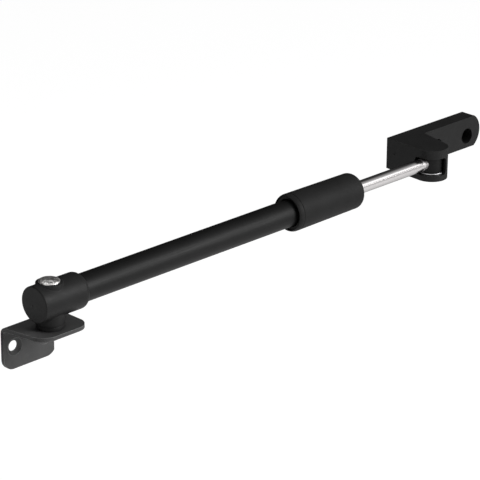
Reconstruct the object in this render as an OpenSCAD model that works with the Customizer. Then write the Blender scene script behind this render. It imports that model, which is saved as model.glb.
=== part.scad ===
// Telescopic window stay: a polished rod slides in a barrel tube and is clamped
// by turning the grip. A bent steel bracket screws to the window frame, and a
// cast fork bracket screws to the sash.
// Origin: midway between the two frame screws, on the face that bears on the
// window frame. +X runs along the stay to the sash, +Y into the frame, +Z up.

/* [Barrel tube] */
// Outside diameter of the tube
tube_d = 14; // [13.4:0.1:14.6]
// Wall of the tube
tube_wall = 1; // [0.8:0.1:1.2]
// Length of the tube
tube_len = 168.4; // [150:0.1:190]

/* [Rod] */
// Diameter of the polished rod
rod_d = 7; // [6.6:0.1:7.2]
// Length of the rod, from its inner end to the tip in the eye
rod_len = 197; // [190:0.5:205]
// Length of rod that shows between grip and eye, as the stay is drawn
rod_out = 55; // [46:0.1:66]
// Diameter of the nosed-down tip of the rod
rod_tip_d = 6.4; // [4.4:0.1:6.6]
// Length of the nose that narrows to the tip
rod_nose_len = 2.5; // [1.5:0.5:8]
// Radial running clearance of shafts in their bores
running_gap = 0.05; // [0.03:0.01:0.08]
// Gap between faces that turn or slide past each other
face_gap = 0.1; // [0.08:0.01:0.2]

/* [End cap] */
// Diameter of the cap
cap_d = 18.2; // [17.4:0.1:19]
// Length of the cap
cap_len = 28.15; // [26:0.05:32]
// Distance from the pivot to the flat end of the cap
cap_nose = 9.5; // [8:0.05:11]
// Radius of the round at the tube end
cap_round = 3; // [1.5:0.1:3.6]
// Radius of the small round at the flat end
cap_edge = 0.5; // [0.3:0.1:0.9]
// Depth of the tube in the cap
cap_socket = 11; // [9:0.5:12]
// Diameter of the upper boss, under the head of the pin
boss_d = 13.2; // [12:0.1:14]
// Height of the upper boss above the axis of the stay
boss_up = 9.1; // [8.7:0.1:10.5]
// Diameter of the lower boss
low_boss_d = 14.1; // [13:0.1:15.5]
// Depth of the lower boss below the axis of the stay
boss_down = 11.7; // [10.6:0.1:13]

/* [Frame pivot] */
// Diameter of the pivot pin
pin_d = 6; // [5:0.1:6.4]
// Diameter of its domed head
pin_head_d = 10.4; // [9:0.1:12]
// Height of the rim of the head
pin_rim = 0.45; // [0.3:0.05:0.8]
// Height of the dome above the rim
pin_dome = 1.1; // [0.5:0.1:1.5]
// Wall of the bush in the cap
bush_wall = 1; // [0.8:0.1:1.4]
// Diameter of the ring between cap and bracket
spacer_d = 13.4; // [12:0.1:15]
// Thickness of that ring
spacer_t = 2; // [1.2:0.1:3]
// Diameter of the riveted end under the bracket
rivet_d = 9; // [8:0.1:10]
// Height of the riveted end
rivet_h = 1.3; // [1:0.1:1.8]

/* [Frame bracket] */
// Width of the bent plate
bracket_w = 32.6; // [31:0.1:36]
// Thickness of the plate
bracket_t = 2; // [1.5:0.1:3]
// Depth of the shelf, from the window frame to its front edge
shelf_depth = 27.2; // [25:0.1:30]
// Distance of the pivot from the window frame
pivot_back = 16.9; // [15.5:0.1:17.8]
// Height of the leg, from the top of the shelf to its lower edge
leg_h = 23.3; // [20:0.1:30]
// Outside radius of the bend
bend_r = 4; // [3.2:0.1:5]
// Radius of the front corners of the shelf
shelf_corner = 7; // [4:0.5:10]
// Radius of the lower corners of the leg
leg_corner = 6; // [3:0.5:8]
// Distance between the two frame screws
frame_hole_spacing = 19; // [18:0.5:20.5]
// Distance of the screws below the top of the shelf
frame_hole_drop = 12; // [11:0.1:14]
// Diameter of the screw holes in the leg
frame_hole_d = 5.4; // [4.5:0.1:6]
// Diameter of their countersinks
frame_sink_d = 8.2; // [7:0.1:9]
// Depth of their countersinks
frame_sink_depth = 1.3; // [0.8:0.1:1.4]

/* [Grip] */
// Diameter of the grip near the tube
grip_back_d = 19.9; // [19.2:0.1:21]
// Diameter of the grip near its front end
grip_front_d = 19.2; // [18.8:0.1:20.5]
// Length of the grip
grip_len = 50.7; // [46:0.1:56]
// Length of tube inside the grip
grip_lap = 18.2; // [10:0.1:22]
// Radius of the round ends of the grip
grip_round = 3; // [2:0.1:3.6]
// Diameter of the bore round the tube
grip_bore_d = 15; // [14.9:0.1:15.6]
// Diameter of the recess at the back end, which shows as a dark ring round the tube
grip_recess_d = 16.6; // [15.8:0.1:17]
// Depth of that recess
grip_recess_len = 2.5; // [1:0.1:4]
// Diameter of the hole for the rod in the front wall
grip_mouth_d = 8; // [7.6:0.1:9]
// Thickness of the front wall
grip_wall = 4; // [3:0.1:4.5]
// Distance of the moulded line from the back end
grip_line_x = 3.1; // [2.5:0.1:6]
// Width of the moulded line
grip_line_w = 0.3; // [0.2:0.1:0.6]
// Number of ribs that key the threaded insert into the grip
grip_rib_count = 6; // [4:1:8]

/* [Brake] */
// Length of the brake body inside the tube
spigot_len = 12; // [8:0.5:16]
// Thickness of the flange on which the grip turns
flange_t = 2.5; // [1.5:0.1:3]
// Diameter of the hollow stem in front of the flange
stem_d = 13.2; // [12.8:0.1:13.6]
// Free length between the gland of the brake and the wiper
wiper_room = 1.8; // [1:0.2:3]
// Diameter of the chamber in the stem
chamber_d = 11; // [10.6:0.1:11.4]
// Depth of the chamber
chamber_len = 14; // [13.5:0.1:15]
// Length of the foot of the collet
collet_foot = 2.5; // [2:0.1:3]
// Length of the tapered fingers of the collet
collet_finger = 7.5; // [6:0.1:8]
// Diameter of the fingers at the foot
collet_root_d = 9.6; // [9.3:0.1:9.8]
// Diameter of the fingers at their ends
collet_tip_d = 8.4; // [8.2:0.1:8.7]
// Width of the slits in the collet
collet_slit = 0.8; // [0.5:0.1:1.2]
// Number of slits in the collet
collet_slits = 4; // [3:1:6]
// Length of the clamping ring
clamp_len = 5.6; // [4.5:0.1:6]
// Travel of the clamping ring in half a turn of the grip
clamp_travel = 1; // [0.6:0.1:1.2]
// Width of the two keys of the clamping ring
key_w = 3; // [2:0.1:4]
// Thickness of the gland that closes the stem
gland_t = 2; // [1.5:0.1:2.5]
// Wall of the threaded insert
insert_wall = 0.8; // [0.7:0.1:0.9]
// Thickness of the retaining clip
clip_t = 1; // [0.8:0.1:1.2]
// Thickness of the wiper in the mouth of the grip
wiper_t = 2.4; // [1.8:0.1:2.8]

/* [Piston] */
// Length of the piston
piston_len = 10; // [9:0.5:14]
// Thickness of its end wall
piston_wall = 3; // [2:0.5:4]
// Diameter of the cord of the drag ring
ring_cord = 2; // [1.6:0.1:2.2]
// Diameter of the screw that holds the piston
screw_d = 3.2; // [3:0.1:4]
// Depth of the screw in the rod
screw_grip = 8; // [6:0.5:12]
// Diameter of the screw head
screw_head_d = 6.2; // [5.6:0.1:7]
// Height of the screw head
screw_head_h = 1.9; // [1.5:0.1:2.5]
// Width of the slot in the screw head
screw_slot = 0.9; // [0.6:0.1:1.2]
// Thickness of the rubber stop on the rod
stop_t = 3; // [2:0.1:5]
// Length of the rubber buffer at the bottom of the tube
buffer_len = 5; // [3:0.5:8]

/* [Fork bracket] */
// Diameter of the eye on the rod
eye_d = 13; // [12:0.1:13.2]
// Height of the slot between the ears
slot_h = 9.6; // [9.4:0.1:10.4]
// Distance of the middle of the slot below the axis of the stay
slot_drop = 0.6; // [0:0.1:1]
// Thickness of the upper ear
ear_top = 4.6; // [3:0.1:4.8]
// Thickness of the lower ear
ear_low = 3.1; // [2.6:0.1:4.5]
// Radius of the round nose
nose_r = 8.9; // [8.7:0.1:10]
// Radius of the pocket round the eye
pocket_r = 7.2; // [7.1:0.1:7.4]
// Where the slot ends at the front, from the pivot
slot_front_end = 2.1; // [0.5:0.1:2.4]
// Where the slot ends at the side, from the pivot
slot_back_end = 4.3; // [4.2:0.1:5]
// Radius of the slot's corners
slot_corner = 2.4; // [1:0.1:2.6]
// Distance from the pivot to the face on the sash
fork_back = 25.4; // [23:0.1:30]
// Thickness of the arm
arm_t = 9.2; // [7.5:0.1:10]
// Where the left side of the block meets the sash, left of the pivot
block_left = 7.4; // [6:0.1:9]
// Where the right side of the block meets the arm, right of the pivot
block_right = 12.8; // [11:0.1:15]
// Distance from the pivot to the nearer sash screw
sash_hole_near = 23.4; // [22:0.1:27]
// Distance between the two sash screws
sash_hole_spacing = 25; // [22:0.5:32]
// Distance of the sash screws below the axis of the stay
sash_hole_drop = 1.6; // [0:0.1:2]
// Diameter of the holes for the sash screws
sash_hole_d = 4.8; // [4:0.1:5.5]
// Diameter of their counterbores
sash_bore_d = 8.8; // [7.5:0.1:9]
// Depth of their counterbores
sash_bore_depth = 6; // [4:0.5:7]
// Radius of the round end of the arm
arm_end_r = 10.6; // [9.4:0.1:11.4]
// Diameter of the fork pin
fork_pin_d = 5; // [4.5:0.1:5.2]
// Metal left above the blind end of the fork pin
ear_cover = 1.6; // [1.2:0.1:2]
// Diameter of the washer under the eye
washer_d = 13.8; // [13:0.1:14]
// Thickness of that washer
washer_t = 0.7; // [0.5:0.1:1]

/* [Hidden] */
$fn = 96;

powder_black = "#2b2b2c";
cast_black = "#2a2a2b";
tube_black = "#222223";
grip_black = "#303031";
bright_steel = "#d2d2d4";
zinc = "#b9bcc0";
acetal_white = "#e6e4dc";
rubber_black = "#1a1a1a";
brass = "#c6a14e";

// A small extra depth, so that a cut runs clean through a face
through = 1;

tube_r = tube_d / 2;
tube_ir = tube_r - tube_wall;
rod_r = rod_d / 2;
cap_r = cap_d / 2;
pin_r = pin_d / 2;

// Heights and depths of the frame bracket, from the screws
shelf_z = frame_hole_drop;
axis_z = shelf_z + spacer_t + face_gap + boss_down;
leg_z = shelf_z - leg_h;

// Places along the stay, from the frame pivot
cap_end_x = cap_len - cap_nose;
tube_x = cap_end_x - cap_socket;
tube_end_x = tube_x + tube_len;
grip_x = tube_end_x - grip_lap;
grip_end_x = grip_x + grip_len;
fork_x = grip_end_x + rod_out + eye_d / 2;

flange_end_x = tube_end_x + flange_t;
stem_end_x = grip_end_x - grip_wall - wiper_t - wiper_room - gland_t;
chamber_x = stem_end_x - chamber_len;
flange_d = grip_bore_d - 2 * running_gap;
gland_plug = 1;
gland_end_x = stem_end_x + gland_t;

// The collet stands on the floor of the chamber; the clamping ring rides on its taper
finger_x = chamber_x + collet_foot;
finger_end_x = finger_x + collet_finger;
clamp_gap = 0.02;
clamp_rest = 0.5;
clamp_end_x = stem_end_x - gland_plug - clamp_rest;
clamp_x = clamp_end_x - clamp_len;
finger_slope = (collet_root_d - collet_tip_d) / 2 / collet_finger;
clamp_slack = clamp_gap + finger_slope * clamp_travel;
key_gap = 0.15;
key_inset = 0.8;
key_len = clamp_len - 2 * key_inset;
key_slot_x = clamp_x + key_inset - clamp_travel - clamp_rest;

// The insert is held between the flange and the clip
insert_x = flange_end_x + face_gap;
insert_collar = 2.6;
insert_over = 0.6;
insert_end_x = stem_end_x + insert_over;
thread_depth = 1;
insert_ir = stem_d / 2 + thread_depth;
insert_r = insert_ir + insert_wall;
rib_h = 0.4;
rib_w = 2;
key_r = insert_ir - face_gap;
clip_x = insert_x + insert_collar + face_gap;
clip_groove = 0.6;
clip_over = 0.7;
clip_r = stem_d / 2 + clip_over;
clip_mouth = 5;
wiper_end_x = grip_end_x - grip_wall;
wiper_r = 6;
wiper_lip = 0.05;
grip_line_depth = 0.2;

// The piston turns on the inner end of the rod
rod_tip_sink = 2.6;
rod_tip_x = fork_x - eye_d / 2 + rod_tip_sink;
rod_x = rod_tip_x - rod_len;
piston_x = rod_x - piston_wall - face_gap;
piston_end_x = piston_x + piston_len;
piston_r = tube_ir - running_gap;
screw_head_x = piston_x - face_gap;
stop_x = piston_end_x + face_gap;
stop_gap = 0.5;
stop_r = tube_ir - stop_gap;
drag_seat_r = piston_r - ring_cord;
ring_play = 0.3;

// Heights of the fork bracket, from the axis of the stay
slot_top_z = slot_h / 2 - slot_drop;
slot_low_z = slot_top_z - slot_h;
ear_top_z = slot_top_z + ear_top;
ear_low_z = slot_low_z - ear_low;
washer_z = slot_low_z;
eye_z = washer_z + washer_t + face_gap;
eye_h = slot_top_z - face_gap - eye_z;
eye_edge = 0.3;
fork_pin_r = fork_pin_d / 2;
fork_pin_top = ear_top_z - ear_cover;
fork_pin_chamfer = 0.5;
sash_hole_xs = [sash_hole_near, sash_hole_near + sash_hole_spacing];

// Moves what is drawn round the frame pivot, on the axis of the stay, to its place
module at_stay() {
  translate([0, -pivot_back, axis_z]) children();
}

// Moves what is drawn round the sash pivot to its place
module at_fork() {
  at_stay() translate([fork_x, 0, 0]) children();
}

// Turns a flat half profile, drawn along +X with its radius along +Y, about the X axis
module turned() {
  rotate([0, 90, 0]) rotate_extrude() mirror([1, -1]) children();
}

// A round bar along X from x0 to x1
module bar_x(r, x0, x1) {
  translate([x0, 0, 0]) rotate([0, 90, 0]) cylinder(r = r, h = x1 - x0);
}

// A cone along X, of radius r0 at x0 and r1 at x1
module cone_x(r0, r1, x0, x1) {
  translate([x0, 0, 0]) rotate([0, 90, 0]) cylinder(r1 = r0, r2 = r1, h = x1 - x0);
}

// An upright cylinder from z0 to z1
module post_z(r, z0, z1) {
  translate([0, 0, z0]) cylinder(r = r, h = z1 - z0);
}

// A flat rectangle whose two corners at its far end, along +Y, are round
module tongue(w, l, r) {
  translate([-w / 2, 0]) square([w, l - r]);
  translate([-w / 2 + r, 0]) square([w - 2 * r, l]);
  for (side = [-1, 1]) translate([side * (w / 2 - r), l - r]) circle(r);
}

// A round bar along X, of radius r0 at x0 and r1 at x1, with a round at each end
module rounded_bar_x(r0, r1, x0, x1, round0, round1) {
  bar_x(r0 - round0, x0, x0 + round0);
  turned() translate([x0 + round0, r0 - round0]) circle(round0);
  cone_x(r0, r1, x0 + round0, x1 - round1);
  turned() translate([x1 - round1, r1 - round1]) circle(round1);
  bar_x(r1 - round1, x1 - round1, x1);
}

// A low dome on a rim, from z = 0 upwards
module domed_disc(r, rim, dome) {
  dome_r = (r * r + dome * dome) / (2 * dome);
  intersection() {
    cylinder(r = r, h = rim + dome + through);
    translate([0, 0, rim + dome - dome_r]) sphere(dome_r);
    cylinder(r = r + through, h = rim + dome);
  }
}

// Frame bracket: a bent steel plate, with two countersunk holes in its leg
module frame_bracket() {
  color(powder_black) difference() {
    union() {
      translate([0, -bend_r, shelf_z - bracket_t]) linear_extrude(bracket_t)
        mirror([0, 1]) tongue(bracket_w, shelf_depth - bend_r, shelf_corner);
      translate([0, 0, shelf_z - bend_r]) rotate([90, 0, 0]) linear_extrude(bracket_t)
        mirror([0, 1]) tongue(bracket_w, leg_h - bend_r, leg_corner);
      translate([-bracket_w / 2, -bend_r, shelf_z - bend_r]) rotate([90, 0, 90])
        linear_extrude(bracket_w) intersection() {
          difference() {
            circle(bend_r);
            circle(bend_r - bracket_t);
          }
          square(bend_r);
        }
    }
    for (side = [-1, 1]) translate([side * frame_hole_spacing / 2, 0, 0]) {
      rotate([90, 0, 0]) translate([0, 0, -through])
        cylinder(d = frame_hole_d, h = bracket_t + 2 * through);
      translate([0, -bracket_t, 0]) rotate([-90, 0, 0])
        cylinder(d1 = frame_sink_d, d2 = frame_hole_d, h = frame_sink_depth);
    }
    translate([0, -pivot_back, 0])
      post_z(pin_r, shelf_z - bracket_t - through, shelf_z + through);
  }
}

// Pivot pin: domed head on the cap, shank through cap, ring and bracket, riveted below
module pivot_pin() {
  head_z = boss_up + face_gap;
  shelf_low = -boss_down - face_gap - spacer_t - bracket_t;
  color(bright_steel) at_stay() {
    translate([0, 0, head_z]) domed_disc(pin_head_d / 2, pin_rim, pin_dome);
    post_z(pin_r, shelf_low, head_z);
    translate([0, 0, shelf_low]) mirror([0, 0, 1])
      domed_disc(rivet_d / 2, rivet_h / 3, rivet_h * 2 / 3);
  }
}

// Ring between the lower boss of the cap and the bracket
module spacer_ring() {
  ring_z = -boss_down - face_gap - spacer_t;
  color(tube_black) at_stay() difference() {
    post_z(spacer_d / 2, ring_z, ring_z + spacer_t);
    post_z(pin_r, ring_z - through, ring_z + spacer_t + through);
  }
}

// End cap: a round casting with a boss above and below, which holds tube and bush
module end_cap() {
  color(cast_black) at_stay() difference() {
    union() {
      rounded_bar_x(cap_r, cap_r, -cap_nose, cap_end_x, cap_edge, cap_round);
      post_z(boss_d / 2, 0, boss_up);
      post_z(low_boss_d / 2, -boss_down, 0);
    }
    bar_x(tube_r, tube_x, cap_end_x + through);
    post_z(pin_r + running_gap + bush_wall, -boss_down - through, boss_up + through);
  }
}

// Plain bush that lines the pivot bore of the cap
module pivot_bush() {
  bore_r = pin_r + running_gap;
  color(acetal_white) at_stay() difference() {
    post_z(bore_r + bush_wall, -boss_down, boss_up);
    post_z(bore_r, -boss_down - through, boss_up + through);
  }
}

// Barrel tube
module barrel_tube() {
  color(tube_black) at_stay() difference() {
    bar_x(tube_r, tube_x, tube_end_x);
    bar_x(tube_ir, tube_x - through, tube_end_x + through);
  }
}

// Rubber buffer at the bottom of the tube
module end_buffer() {
  tip_len = 2;
  tip_share = 0.6;
  tip_r = tube_ir * tip_share;
  color(rubber_black) at_stay() {
    bar_x(tube_ir, tube_x, tube_x + buffer_len - tip_len);
    cone_x(tube_ir, tip_r, tube_x + buffer_len - tip_len, tube_x + buffer_len);
  }
}

// Brake body: spigot pressed into the tube, flange, and hollow stem with two key slots
module brake_body() {
  color(zinc) at_stay() difference() {
    union() {
      bar_x(tube_ir, tube_end_x - spigot_len, tube_end_x);
      bar_x(flange_d / 2, tube_end_x, flange_end_x);
      bar_x(stem_d / 2, flange_end_x, stem_end_x);
    }
    bar_x(rod_r + running_gap, tube_end_x - spigot_len - through, stem_end_x + through);
    bar_x(chamber_d / 2, chamber_x, stem_end_x + through);
    difference() {
      bar_x(stem_d / 2 + through, clip_x, clip_x + clip_t);
      bar_x(stem_d / 2 - clip_groove, clip_x - through, clip_x + clip_t + through);
    }
    translate([key_slot_x, -key_w / 2 - key_gap, -stem_d])
      cube([stem_end_x - key_slot_x + through, key_w + 2 * key_gap, 2 * stem_d]);
  }
}

// Brake collet: a slit acetal sleeve with tapered fingers that close on the rod
module brake_collet() {
  color(acetal_white) at_stay() difference() {
    union() {
      bar_x(chamber_d / 2, chamber_x, finger_x);
      cone_x(collet_root_d / 2, collet_tip_d / 2, finger_x, finger_end_x);
    }
    bar_x(rod_r + running_gap, chamber_x - through, finger_end_x + through);
    for (i = [0 : collet_slits - 1]) rotate([(i + 0.5) * 360 / collet_slits, 0, 0])
      translate([finger_x, -collet_slit / 2, 0])
        cube([collet_finger + through, collet_slit, collet_root_d]);
  }
}

// Gland that closes the stem and guides the rod
module stem_gland() {
  color(acetal_white) at_stay() difference() {
    union() {
      bar_x(chamber_d / 2, stem_end_x - gland_plug, stem_end_x);
      bar_x(stem_d / 2, stem_end_x, gland_end_x);
    }
    bar_x(rod_r + running_gap, stem_end_x - gland_plug - through, gland_end_x + through);
  }
}

// Open spring clip in the groove of the stem, which keeps the grip on
module grip_clip() {
  color(bright_steel) at_stay() difference() {
    bar_x(clip_r, clip_x, clip_x + clip_t);
    bar_x(stem_d / 2 - clip_groove, clip_x - through, clip_x + clip_t + through);
    translate([clip_x - through, -clip_mouth / 2, 0])
      cube([clip_t + 2 * through, clip_mouth, clip_r + through]);
  }
}

// Clamping ring: tapered bore on the collet, and two keys whose ends carry the thread
module clamp_ring() {
  ring_r = chamber_d / 2 - running_gap;
  taper_r = function(x) collet_root_d / 2 - finger_slope * (x - finger_x) + clamp_slack;
  color(brass) at_stay() difference() {
    union() {
      bar_x(ring_r, clamp_x, clamp_end_x);
      intersection() {
        bar_x(key_r, clamp_x + key_inset, clamp_x + key_inset + key_len);
        translate([clamp_x + key_inset, -key_w / 2, -key_r])
          cube([key_len, key_w, 2 * key_r]);
      }
    }
    cone_x(taper_r(clamp_x - through), taper_r(clamp_end_x + through),
      clamp_x - through, clamp_end_x + through);
  }
}

// Ribs on the insert, and the grooves for them in the grip
module insert_ribs() {
  for (i = [0 : grip_rib_count - 1]) rotate([i * 360 / grip_rib_count, 0, 0])
    translate([insert_x, -rib_w / 2, insert_ir])
      cube([insert_end_x - insert_x, rib_w, insert_wall + rib_h]);
}

// Grip sleeve: slightly conical, round-ended, turned by hand
module grip_sleeve() {
  line_r = max(grip_back_d, grip_front_d) / 2 + through;
  color(grip_black) at_stay() difference() {
    rounded_bar_x(grip_back_d / 2, grip_front_d / 2,
      grip_x, grip_end_x, grip_round, grip_round);
    bar_x(grip_bore_d / 2, grip_x - through, insert_x);
    bar_x(grip_recess_d / 2, grip_x - through, grip_x + grip_recess_len);
    bar_x(insert_r, insert_x, insert_end_x);
    bar_x(wiper_r, insert_end_x - through, wiper_end_x);
    bar_x(stem_d / 2 + face_gap, insert_end_x - through, gland_end_x + face_gap);
    bar_x(grip_mouth_d / 2, wiper_end_x - through, grip_end_x + through);
    difference() {
      bar_x(line_r, grip_x + grip_line_x, grip_x + grip_line_x + grip_line_w);
      bar_x(grip_back_d / 2 - grip_line_depth, grip_x, grip_end_x);
    }
    insert_ribs();
  }
}

// Threaded insert in the grip: its collar turns on the stem, its thread moves the keys
module grip_insert() {
  color(brass) at_stay() difference() {
    union() {
      bar_x(insert_r, insert_x, insert_end_x);
      insert_ribs();
    }
    bar_x(stem_d / 2 + running_gap, insert_x - through, insert_end_x);
    bar_x(insert_ir, insert_x + insert_collar, insert_end_x + through);
  }
}

// Rubber wiper behind the mouth of the grip
module rod_wiper() {
  color(rubber_black) at_stay() difference() {
    bar_x(wiper_r, wiper_end_x - wiper_t, wiper_end_x);
    cone_x(rod_r + wiper_t / 2, rod_r + wiper_lip, wiper_end_x - wiper_t, wiper_end_x);
    bar_x(rod_r + wiper_lip, wiper_end_x - wiper_t - through, wiper_end_x + through);
  }
}

// Piston on the inner end of the rod, with a groove for the drag ring
module piston() {
  groove_x = (piston_x + piston_end_x) / 2;
  groove_w = ring_cord + ring_play;
  color(acetal_white) at_stay() difference() {
    bar_x(piston_r, piston_x, piston_end_x);
    bar_x(rod_r + running_gap, rod_x - face_gap, piston_end_x + through);
    bar_x(screw_d / 2 + running_gap, piston_x - through, rod_x);
    difference() {
      bar_x(tube_r, groove_x - groove_w / 2, groove_x + groove_w / 2);
      bar_x(drag_seat_r, piston_x, piston_end_x);
    }
  }
}

// Rubber ring that drags in the tube, so that the rod doesn't rattle
module drag_ring() {
  ring_x = (piston_x + piston_end_x) / 2;
  color(rubber_black) at_stay() turned()
    translate([ring_x, drag_seat_r + ring_cord / 2]) circle(ring_cord / 2);
}

// Polished rod, nosed down to the tip that is fixed in the eye
module rod() {
  nose_x = fork_x - eye_d / 2 - rod_nose_len;
  nose_end_x = fork_x - eye_d / 2;
  end_edge = 0.4;
  tip_r = rod_tip_d / 2;
  // The nose is an ogive: an arc that leaves the rod tangentially
  drop = rod_r - tip_r;
  arc_r = (rod_nose_len * rod_nose_len + drop * drop) / (2 * drop);
  color(bright_steel) at_stay() difference() {
    union() {
      cone_x(rod_r - end_edge, rod_r, rod_x, rod_x + end_edge);
      bar_x(rod_r, rod_x + end_edge, nose_x);
      turned() intersection() {
        translate([nose_x, rod_r - arc_r]) circle(arc_r, $fn = 360);
        translate([nose_x, 0]) square([rod_nose_len, rod_r]);
      }
      bar_x(tip_r, nose_end_x, rod_tip_x);
    }
    bar_x(screw_d / 2, rod_x - through, rod_x + screw_grip);
  }
}

// Eye on the end of the rod, which turns on the fork pin
module rod_eye() {
  color(cast_black) at_fork() difference() {
    union() {
      post_z(eye_d / 2, eye_z + eye_edge, eye_z + eye_h - eye_edge);
      translate([0, 0, eye_z])
        cylinder(r1 = eye_d / 2 - eye_edge, r2 = eye_d / 2, h = eye_edge);
      translate([0, 0, eye_z + eye_h - eye_edge])
        cylinder(r1 = eye_d / 2, r2 = eye_d / 2 - eye_edge, h = eye_edge);
    }
    post_z(fork_pin_r + running_gap, eye_z - through, eye_z + eye_h + through);
    bar_x(rod_tip_d / 2, -eye_d, rod_tip_sink - eye_d / 2);
  }
}

// Pan-head screw that holds the piston on the rod
module piston_screw() {
  color(zinc) at_stay() difference() {
    union() {
      bar_x(screw_d / 2, screw_head_x, rod_x + screw_grip);
      bar_x(screw_head_d / 2, screw_head_x - screw_head_h, screw_head_x);
    }
    translate([screw_head_x - screw_head_h - through, -screw_head_d, -screw_slot / 2])
      cube([screw_head_h / 2 + through, 2 * screw_head_d, screw_slot]);
  }
}

// Rubber ring on the rod that stops it at full extension
module stop_ring() {
  color(rubber_black) at_stay() difference() {
    bar_x(stop_r, stop_x, stop_x + stop_t);
    bar_x(rod_r, stop_x - through, stop_x + stop_t + through);
  }
}

// Where a line from a point touches a circle about the origin
function touch(p, r, side) =
  let (turn = atan2(p[1], p[0]) + side * acos(r / norm(p)))
  [r * cos(turn), r * sin(turn)];

// Plan of the block: a round nose whose sides run out to the sash
module block_plan() {
  // The sides start a hair inside the round, so that they cross it and don't just touch
  side_inset = 0.04;
  side_r = nose_r - side_inset;
  left = [-block_left, fork_back];
  right = [block_right, fork_back - arm_t];
  circle(nose_r);
  polygon([
    [0, 0], touch(right, side_r, -1), right,
    [block_right, fork_back], left, touch(left, side_r, 1)
  ]);
}

// Front view of the arm, whose end is a shallow round
module arm_front() {
  far_x = sash_hole_xs[1];
  arm_h = ear_top_z - ear_low_z;
  translate([-block_left, ear_low_z]) square([far_x + block_left, arm_h]);
  intersection() {
    translate([far_x, (ear_top_z + ear_low_z) / 2]) circle(arm_end_r);
    translate([far_x - arm_end_r, ear_low_z]) square([2 * arm_end_r, arm_h]);
  }
}

// Side view of the slot, open at one side, which ends with round corners at end
module slot_mouth(end) {
  rotate(-90) translate([slot_drop, -2 * nose_r]) tongue(slot_h, 2 * nose_r + end, slot_corner);
}

// Space of the eye and of the rod as it swings from the side to the front
module fork_slot() {
  post_z(pocket_r, slot_low_z, slot_top_z);
  rotate([90, 0, 0]) linear_extrude(2 * nose_r) slot_mouth(slot_front_end);
  translate([-2 * nose_r, 0, 0]) rotate([90, 0, 90]) linear_extrude(2 * nose_r)
    slot_mouth(slot_back_end);
}

// Fork bracket: cast block with two ears round the eye, and an arm with two screw holes
module fork_bracket() {
  color(cast_black) at_fork() difference() {
    union() {
      translate([0, 0, ear_low_z]) linear_extrude(ear_top_z - ear_low_z) block_plan();
      translate([0, fork_back, 0]) rotate([90, 0, 0]) linear_extrude(arm_t) arm_front();
    }
    fork_slot();
    post_z(fork_pin_r, ear_low_z - through, fork_pin_top);
    for (x = sash_hole_xs) translate([x, fork_back, -sash_hole_drop]) rotate([90, 0, 0]) {
      translate([0, 0, -through]) cylinder(d = sash_hole_d, h = arm_t + 2 * through);
      translate([0, 0, arm_t - sash_bore_depth])
        cylinder(d = sash_bore_d, h = sash_bore_depth + through);
    }
  }
}

// Fork pin, driven in from below and blind in the upper ear
module fork_pin() {
  color(bright_steel) at_fork() {
    post_z(fork_pin_r, ear_low_z + fork_pin_chamfer, fork_pin_top - fork_pin_chamfer);
    translate([0, 0, ear_low_z])
      cylinder(r1 = fork_pin_r - fork_pin_chamfer, r2 = fork_pin_r, h = fork_pin_chamfer);
    translate([0, 0, fork_pin_top - fork_pin_chamfer])
      cylinder(r1 = fork_pin_r, r2 = fork_pin_r - fork_pin_chamfer, h = fork_pin_chamfer);
  }
}

// Bright washer between the eye and the lower ear
module fork_washer() {
  color(bright_steel) at_fork() difference() {
    post_z(washer_d / 2, washer_z, washer_z + washer_t);
    post_z(fork_pin_r + running_gap, washer_z - through, washer_z + washer_t + through);
  }
}

frame_bracket();
pivot_pin();
spacer_ring();
end_cap();
pivot_bush();
barrel_tube();
end_buffer();
brake_body();
brake_collet();
stem_gland();
grip_clip();
clamp_ring();
grip_sleeve();
grip_insert();
rod_wiper();
piston();
drag_ring();
rod();
rod_eye();
piston_screw();
stop_ring();
fork_bracket();
fork_pin();
fork_washer();
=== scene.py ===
import math

import bpy
from mathutils import Matrix, Vector


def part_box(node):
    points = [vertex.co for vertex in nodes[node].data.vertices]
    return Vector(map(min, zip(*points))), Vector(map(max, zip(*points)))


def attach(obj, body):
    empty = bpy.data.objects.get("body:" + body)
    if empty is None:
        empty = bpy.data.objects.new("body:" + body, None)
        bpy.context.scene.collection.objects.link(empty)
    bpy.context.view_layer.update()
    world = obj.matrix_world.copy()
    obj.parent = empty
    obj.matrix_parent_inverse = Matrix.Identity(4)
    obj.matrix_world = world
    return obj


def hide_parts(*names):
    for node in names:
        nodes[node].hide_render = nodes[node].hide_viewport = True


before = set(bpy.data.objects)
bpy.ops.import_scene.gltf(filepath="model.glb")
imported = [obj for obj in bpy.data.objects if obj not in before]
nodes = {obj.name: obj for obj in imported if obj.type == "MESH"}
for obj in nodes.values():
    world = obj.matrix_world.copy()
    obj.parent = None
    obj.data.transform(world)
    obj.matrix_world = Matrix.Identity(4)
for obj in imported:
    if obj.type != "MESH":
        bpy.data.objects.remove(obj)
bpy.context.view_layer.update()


# The camera stands where the photograph was taken from: low over the stay's near side,
# far off with a long lens. Its aim is a point on the axis of the tube.
MM = 0.001
AXIS_Y, AXIS_Z = -16.9 * MM, 25.8 * MM
TAKE_AZIMUTH = math.radians(-45.04)
TAKE_ELEVATION = math.radians(21.82)
TAKE_ROLL = math.radians(0.34)
TAKE_DISTANCE = 1306.09 * MM
TAKE_SHIFT = (-10.22 * MM, -8.385 * MM)
AIM = Vector((140 * MM, AXIS_Y, AXIS_Z))
LENS_MM = 195.0
SENSOR_MM = 36.0
VIEW_END = 20.0

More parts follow.
